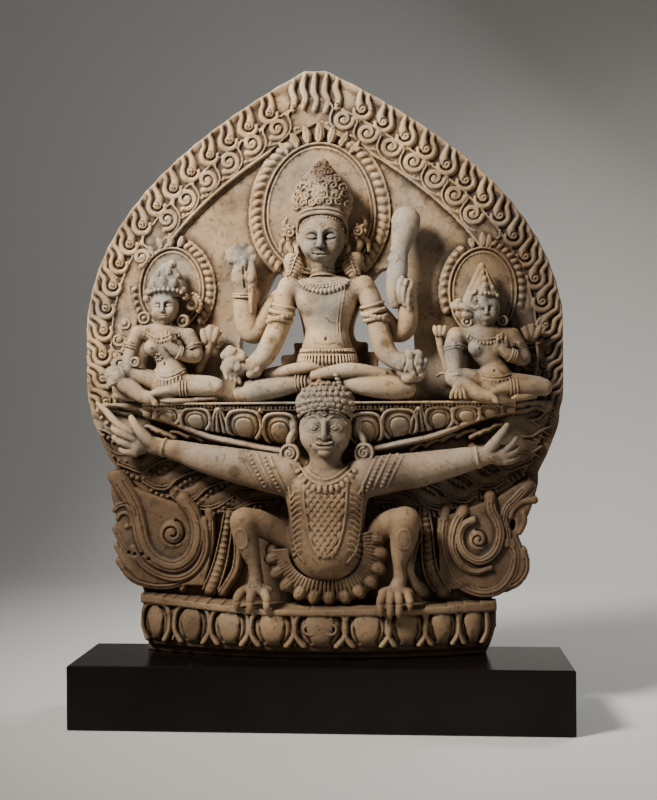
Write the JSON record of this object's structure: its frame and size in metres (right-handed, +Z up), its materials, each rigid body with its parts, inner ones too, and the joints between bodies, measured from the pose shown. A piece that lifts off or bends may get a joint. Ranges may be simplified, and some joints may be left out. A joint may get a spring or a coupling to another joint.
{
  "type": "carved stone figure stele",
  "caption": "Carved stone stele of a seated many-armed god carried by a winged bird-man, with a goddess at each side, in a flame-bordered pointed arch on a low black plinth.",
  "frame": {"origin": "middle of the plinth's underside", "axes": "+Z up, +X to the viewer's right, the carved face looks along -Y"},
  "size_m": [0.69, 0.16, 0.9303],
  "materials": {
    "stone": "matt",
    "plinth_black": "polished"
  },
  "bodies": {
    "root": {"stele": "stone", "plinth": "plinth_black"}
  },
  "joints": []
}
